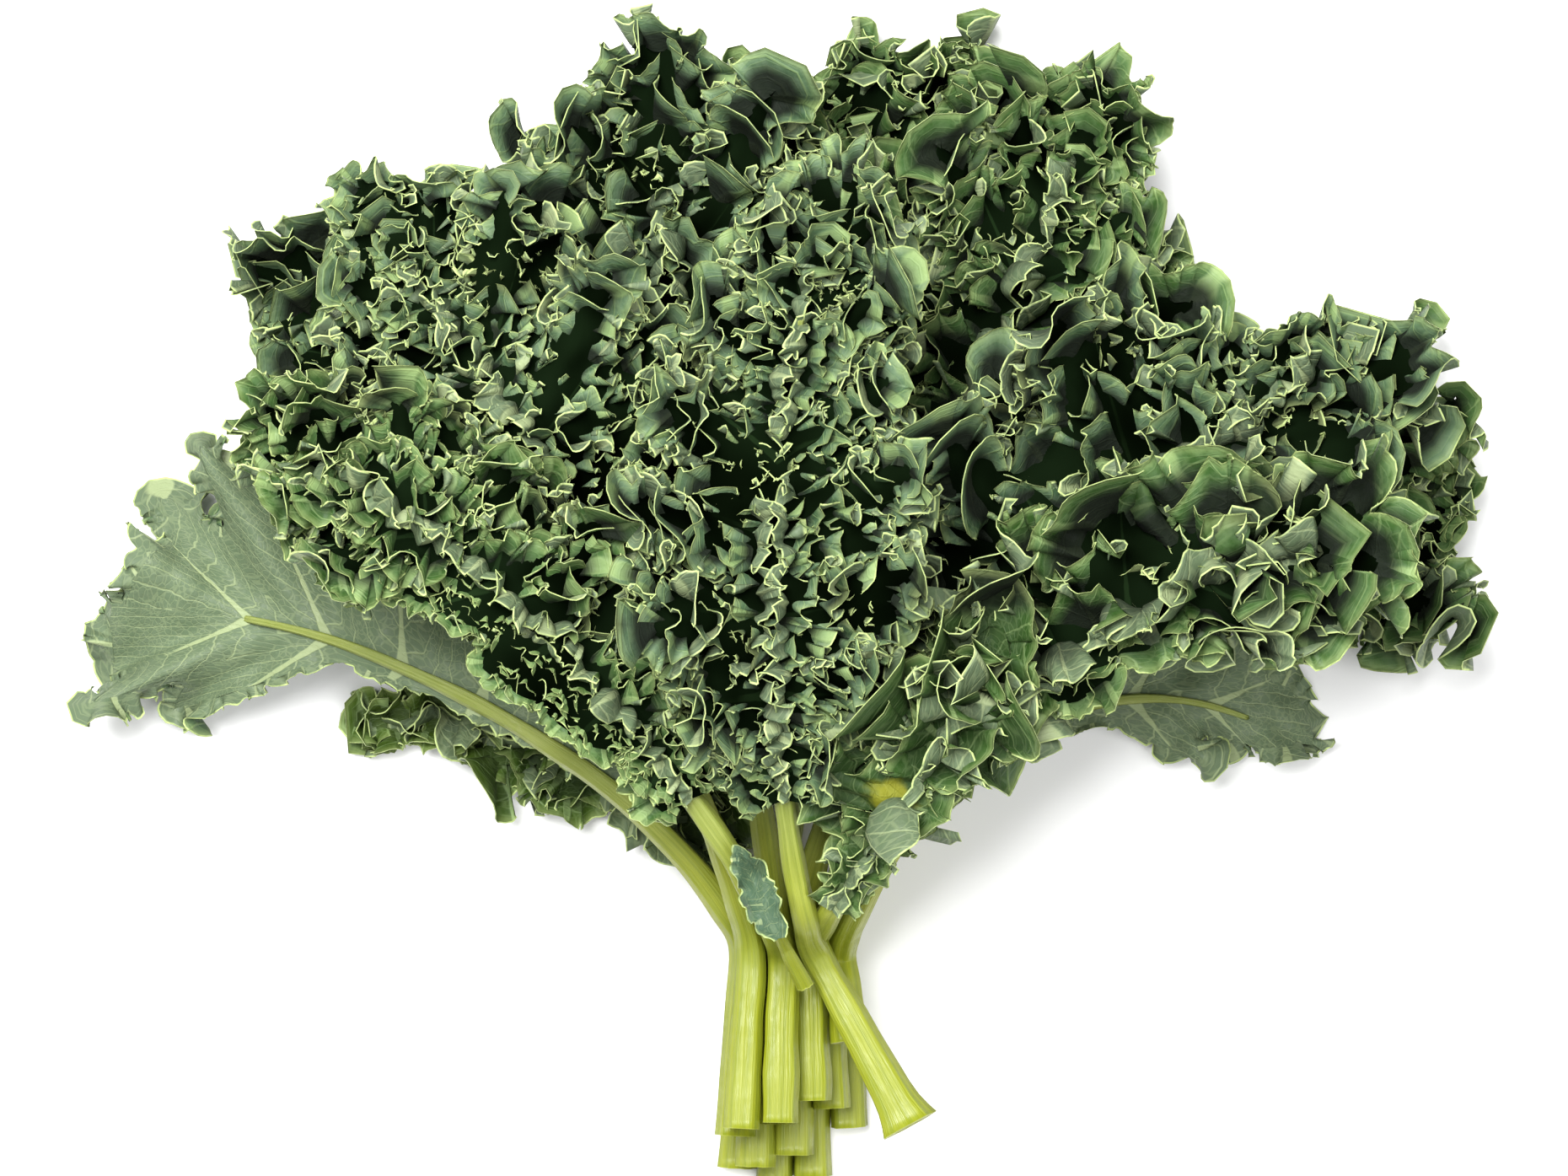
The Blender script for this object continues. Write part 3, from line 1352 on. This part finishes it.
    def make_band(
        self, share: float, phases: np.ndarray, rng: np.random.Generator, over_rib: bool = False
    ) -> tuple[Sheet, dict[str, np.ndarray]]:
        """A frilled band that stands on the inner sheet, or goes on from its margin.

        Args:
            share: how far out it stands, 1 at the margin.
            phases: what the puckers of the inner sheet start from.
            rng: where the draws come from.
            over_rib: whether it leans inwards, over the midrib.

        Returns:
            The band and its UV maps.
        """
        frill, plan = self.frill, self.shape.plan
        at, where = self.line(share, frill.spacing)
        stray = 0 if share == 1 else 0.35 * frill.pitch / plan.half_width / share
        sway = 1 + stray * Wander(rng, 30).at(where)
        ends = np.minimum(share * sway, 1)[:, None] * self.lobes(at)[:, None]
        near = self.surface(at, np.concatenate([ends * 0.97, ends], 1), phases)
        edge = near[:, 1]
        way = unit(np.gradient(edge, where, axis=0))
        up = unit(np.cross(near[:, 1] - near[:, 0], way))
        out = np.cross(way, up)
        small_leaf = min(1, plan.half_width / self.usual_half_width) ** 0.8
        size = smooth(0.06, 0.45, self.width(at) / plan.half_width) * small_leaf
        size = size * np.clip(self.trim(at), self.least_trim, 1)
        rows = np.array(self.band_rows)
        height = frill.height * (1 + 0.3 * Wander(rng, 22).at(where)) * (0.35 + 0.65 * size)
        height = height * np.clip(0.25 + 0.75 * self.trim(at), self.least_trim, 1)
        turns = where / frill.tongue + 0.3 * Wander(rng, 3 * frill.tongue).at(where) + rng.uniform()
        across = np.abs(turns - np.round(turns))
        height = height * (1 + 0.12 - frill.tongue_cut * (2 * across) ** 2.2)
        if share < 1:
            height = height * (1 - 0.85 * openness(edge))
        turn_up = frill.turn_up_at_margin if share == 1 else frill.turn_up
        low, high = np.radians(self.over_rib_turn if over_rib else turn_up)
        turn = low + (high - low) * (0.5 + 0.5 * np.clip(Wander(rng, 30).at(where), -1, 1))
        if plan.faces_down:
            turn = -turn
        angle = turn[:, None] * smooth(-0.6, 0.9, rows)[None, :]
        step = np.diff(rows, prepend=0)[None, :] * height[:, None]
        aim = out[:, None] * np.cos(angle)[..., None] + up[:, None] * np.sin(angle)[..., None]
        points = edge[:, None] + np.cumsum(step[..., None] * aim, axis=1)
        points -= (self.root * up if share < 1 else out)[:, None]
        sheet = Sheet(points, where, rows)
        for ripple in frill.ripples:
            ripple.push(sheet, rng, size)
        _, outwards, _ = sheet.frames()
        phase = where / frill.tooth_length + 0.45 * Wander(rng, 9).at(where)
        pointed = 1 - 2 * np.abs(phase - np.round(phase))
        tooth = frill.tooth * (pointed**1.5 - 0.4) * (1 + 0.6 * Wander(rng, 14).at(where)) * size
        sheet.points += outwards * (tooth[:, None] * smooth(0.55, 1.0, rows)[None, :])[..., None]
        beside = across / np.clip(np.abs(np.gradient(turns, where)), 0.15 / frill.tongue, None)
        out_by = height[:, None] * rows[None, :]
        maps = {
            "rim": np.stack([UV_SCALE * openness(sheet.points), height[:, None] - out_by], -1),
            "veins": np.stack([beside[:, None] * (0.5 + 0.5 * rows[None, :]), 40 + out_by], -1),
        }
        return sheet, maps

    def add_lip(self, sheet: Sheet, maps: dict[str, np.ndarray]) -> dict[str, np.ndarray]:
        """Turns the last bit of a band over, so that its pale rim has a width.

        Args:
            sheet: the band, which gets one more row.
            maps: its UV maps.

        Returns:
            The UV maps with one more row.
        """
        _, out, up = (vectors[:, -1] for vectors in sheet.frames())
        lip = sheet.points[:, -1] + self.lip * (up + 0.25 * out)
        sheet.points = np.concatenate([sheet.points, lip[:, None]], 1)
        return {label: np.concatenate([values, values[:, -1:]], 1) for label, values in maps.items()}

    def settle(self, points: np.ndarray) -> None:
        """Presses points flat against the table and under the leaf above.

        Args:
            points: the points, which are moved.
        """
        low, z = self.floor_gap, points[..., 2]
        points[..., 2] = np.where(z < low, low * np.exp((np.minimum(z, low) - low) / low), z)
        self.ceiling.press(points)
        points[..., 2] = np.maximum(points[..., 2], 0.15)

    def build(self, palette: Palette) -> bpy.types.Object:
        """The finished piece.

        Args:
            palette: the finishes.

        Returns:
            The blade's object, riding on the bunch.
        """
        plan = self.shape.plan
        rng = np.random.default_rng(1000 + self.shape.number)
        phases = rng.uniform(0, 2 * math.pi, 5)
        inner, maps = self.make_inner(phases)
        roof = self.surface(*self.roof_grid(), phases)
        self.settle(inner.points)
        points = [inner.points.reshape(-1, 3)]
        flat = {label: [values.reshape(-1, 2)] for label, values in maps.items()}
        faces, count = [grid_faces(*inner.points.shape[:2])], inner.points.size // 3
        places = self.band_places()
        for share, over_rib in places:
            band, maps = self.make_band(share, phases, rng, over_rib)
            hidden = self.ceiling.covers(band.points[:, -1])
            maps = self.add_lip(band, maps)
            self.settle(band.points)
            columns, rows = band.points.shape[:2]
            shown = ~(hidden[:-1] & hidden[1:])
            faces.append(grid_faces(columns, rows, count)[np.repeat(shown, rows - 1)])
            points.append(band.points.reshape(-1, 3))
            for label, values in maps.items():
                flat[label].append(values.reshape(-1, 2))
            count += columns * rows
        every = np.concatenate(faces)
        if plan.faces_down:
            every = every[:, ::-1]
        used, every = np.unique(every, return_inverse=True)
        flat = {label: np.concatenate(values)[used] / UV_SCALE for label, values in flat.items()}
        corners = np.concatenate(points)[used]
        piece = write_mesh(f"kale_{plan.name}_blade", corners, every.reshape(-1, 4).tolist(), flat)
        piece.data.materials.append(palette.leaves[plan.tint])
        if plan.tint in (Tint.BLUE, Tint.MID):
            piece.data.materials.append(palette.depths)
            slots = np.zeros(len(piece.data.polygons), np.int32)
            slots[: len(faces[0])] = 1
            piece.data.polygons.foreach_set("material_index", slots)
        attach(piece, "root")
        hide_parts(f"{plan.name}_blade")
        self.ceiling.add(roof)
        LOG.info("%s: %d bands, %d triangles", piece.name, len(places), len(every.ravel()) // 2)
        return piece

    def band_places(self) -> list[tuple[float, bool]]:
        """Where the bands stand.

        Returns:
            How far out each is, from the margin inwards, and whether it leans over the midrib. A leaf
            that is too narrow for three of them has only the one at the margin.
        """
        apart = self.frill.pitch / self.shape.plan.half_width
        count = max(1, round((1 - self.frill.innermost) / apart) + 1)
        if count <= 2:
            return [(1.0, False)]
        rings = np.linspace(1.0, self.frill.innermost, count)
        return [(share, False) for share in rings] + [(self.over_rib_at, True)]

    def roof_grid(self) -> tuple[np.ndarray, np.ndarray]:
        """Stations and shares close enough together to fill the ceiling's cells."""
        at = np.linspace(0, self.last, 16 * self.last)
        return at, self.lobes(at)[:, None] * np.linspace(0, 1, 60)[None, :]


@dataclass
class Stalk:
    """The stalk and midrib of one leaf."""

    shape: LeafShape
    sides: int = 22
    steps: int = 7
    ridges: int = 7
    ridge: float = 0.075
    oval: float = 0.06
    groove: float = 0.2
    groove_turn: float = 0.42
    lump: float = 0.05
    foot_length: float = 14.0
    sink: float = 0.35
    lift: float = 0.9

    def build(self, palette: Palette) -> bpy.types.Object:
        """The finished piece.

        Args:
            palette: the finishes.

        Returns:
            The stalk's object, riding on the bunch.
        """
        plan = self.shape.plan
        rng = np.random.default_rng(3000 + self.shape.number)
        axis, radius = self.shape.stalk_rings()
        towards = -1 if plan.faces_down else 1
        under_blade = np.arange(len(axis)) >= 2 + FREE_RINGS
        axis[under_blade, 2] += towards * (SKIN_OFFSET + (self.sink if plan.faces_down else -self.lift))
        at = np.linspace(0, len(axis) - 1, (len(axis) - 1) * self.steps + 1)
        centre, thick = along_knots(axis, at), np.interp(at, np.arange(len(axis)), radius)
        ahead = unit(np.gradient(centre, axis=0))
        beside = unit(np.cross(ahead, [0, 0, 1.0]))
        above = np.cross(beside, ahead)
        length = np.concatenate([[0], np.cumsum(np.linalg.norm(np.diff(centre, axis=0), axis=1))])
        turn = np.linspace(0, 2 * math.pi, self.sides, endpoint=False)
        foot = (plan.foot / CUT_FLARE - 1) * np.exp(-length / self.foot_length)
        groove = self.groove * np.exp(-(((turn - math.pi / 2) / self.groove_turn) ** 2))
        wave = self.ridge * np.cos(self.ridges * turn + rng.uniform(0, 6))
        wave = wave + self.oval * np.cos(2 * turn + rng.uniform(0, 6))
        lumps = self.lump * Wander(rng, 26).at(length)
        r = thick[:, None] * (1 + wave[None, :] - groove[None, :] + lumps[:, None])
        wide = 1 + 0.8 * np.maximum(foot, 0)
        points = centre[:, None] + beside[:, None] * (r * np.cos(turn) * wide[:, None])[..., None]
        points += above[:, None] * (r * np.sin(turn))[..., None]
        count = len(centre) * self.sides
        ends = np.stack([centre[0] + ahead[0] * 0.8, centre[-1] + ahead[-1] * 0.6])
        points = np.concatenate([points.reshape(-1, 3), ends])
        points[:, 2] = np.maximum(points[:, 2], 0.1)
        faces = grid_faces(len(centre), self.sides, closed=True)[:, ::-1].tolist()
        final = count - self.sides
        for side in range(self.sides):
            on = (side + 1) % self.sides
            faces.append((on, side, count))
            faces.append((final + side, final + on, count + 1))
        far = length / UV_SCALE
        places = np.broadcast_arrays(turn[None, :] / (2 * math.pi), far[:, None])
        places = np.concatenate([np.stack(places, -1).reshape(-1, 2), [[0.5, 0], [0.5, far[-1]]]])
        piece = write_mesh(f"kale_{plan.name}_stalk", points, faces, {"stalk": places})
        piece.data.materials.append(palette.stalk)
        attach(piece, "root")
        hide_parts(f"{plan.name}_stalk")
        LOG.info("%s: %d faces", piece.name, len(faces))
        return piece


# The room


@dataclass(frozen=True)
class Studio:
    """The pale floor, the soft lights and the camera that looks down on the table."""

    camera_height: float = 1.5
    aim: tuple[float, float] = (-0.0092, -0.0001)
    lens: float = 98.85
    floor_size: float = 6.0
    floor_white: float = 0.9
    sky: float = 0.36

    def build(self) -> None:
        """Makes the floor, the lights and the camera."""
        scene = bpy.context.scene
        self.make_floor()
        world = bpy.data.worlds.new("room")
        scene.world = world
        world.use_nodes = True
        sky = world.node_tree.nodes["Background"]
        sky.inputs["Color"].default_value = (1, 1, 1, 1)
        sky.inputs["Strength"].default_value = self.sky
        scene.view_settings.view_transform = "Standard"
        self.make_light("key", (-0.42, 0.55, 1.55), 1.0, 62)
        self.make_light("fill", (0.7, -0.5, 1.5), 1.4, 18)
        camera = bpy.data.cameras.new("camera")
        camera.lens, camera.sensor_width = self.lens, 36.0
        camera.clip_start, camera.clip_end = 0.05, 20.0
        eye = bpy.data.objects.new("camera", camera)
        eye.location = (*self.aim, self.camera_height)
        scene.collection.objects.link(eye)
        scene.camera = eye

    def make_floor(self) -> None:
        """A plain pale sheet under the bunch."""
        half = self.floor_size / 2
        mesh = bpy.data.meshes.new("floor")
        corners = [(-half, -half, 0), (half, -half, 0), (half, half, 0), (-half, half, 0)]
        mesh.from_pydata(corners, [], [(0, 1, 2, 3)])
        material, _, shader = new_material("floor_white")
        shader.inputs["Base Color"].default_value = (*(self.floor_white,) * 3, 1)
        shader.inputs["Roughness"].default_value = 0.9
        mesh.materials.append(material)
        floor = bpy.data.objects.new("floor", mesh)
        bpy.context.scene.collection.objects.link(floor)

    def make_light(self, name: str, place: tuple[float, float, float], size: float, power: float) -> None:
        """A square soft light aimed at the bunch.

        Args:
            name: its name.
            place: where it hangs, in metres.
            size: its side, in metres.
            power: its power, in watts.
        """
        light = bpy.data.lights.new(name, "AREA")
        light.size, light.energy = size, power
        lamp = bpy.data.objects.new(name, light)
        lamp.location = place
        lamp.rotation_euler = (-Vector(place)).to_track_quat("-Z", "Y").to_euler()
        bpy.context.scene.collection.objects.link(lamp)


def main() -> None:
    """Builds every piece, the room and the camera."""
    logging.basicConfig(level=logging.INFO, format="%(name)s: %(message)s")
    palette = Palette()
    ceiling = Ceiling()
    for number, plan in reversed(list(enumerate(LEAVES))):
        shape = LeafShape(plan, number)
        Blade(shape, ceiling).build(palette)
        Stalk(shape).build(palette)
    Studio().build()
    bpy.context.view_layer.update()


if __name__ == "__main__":
    main()
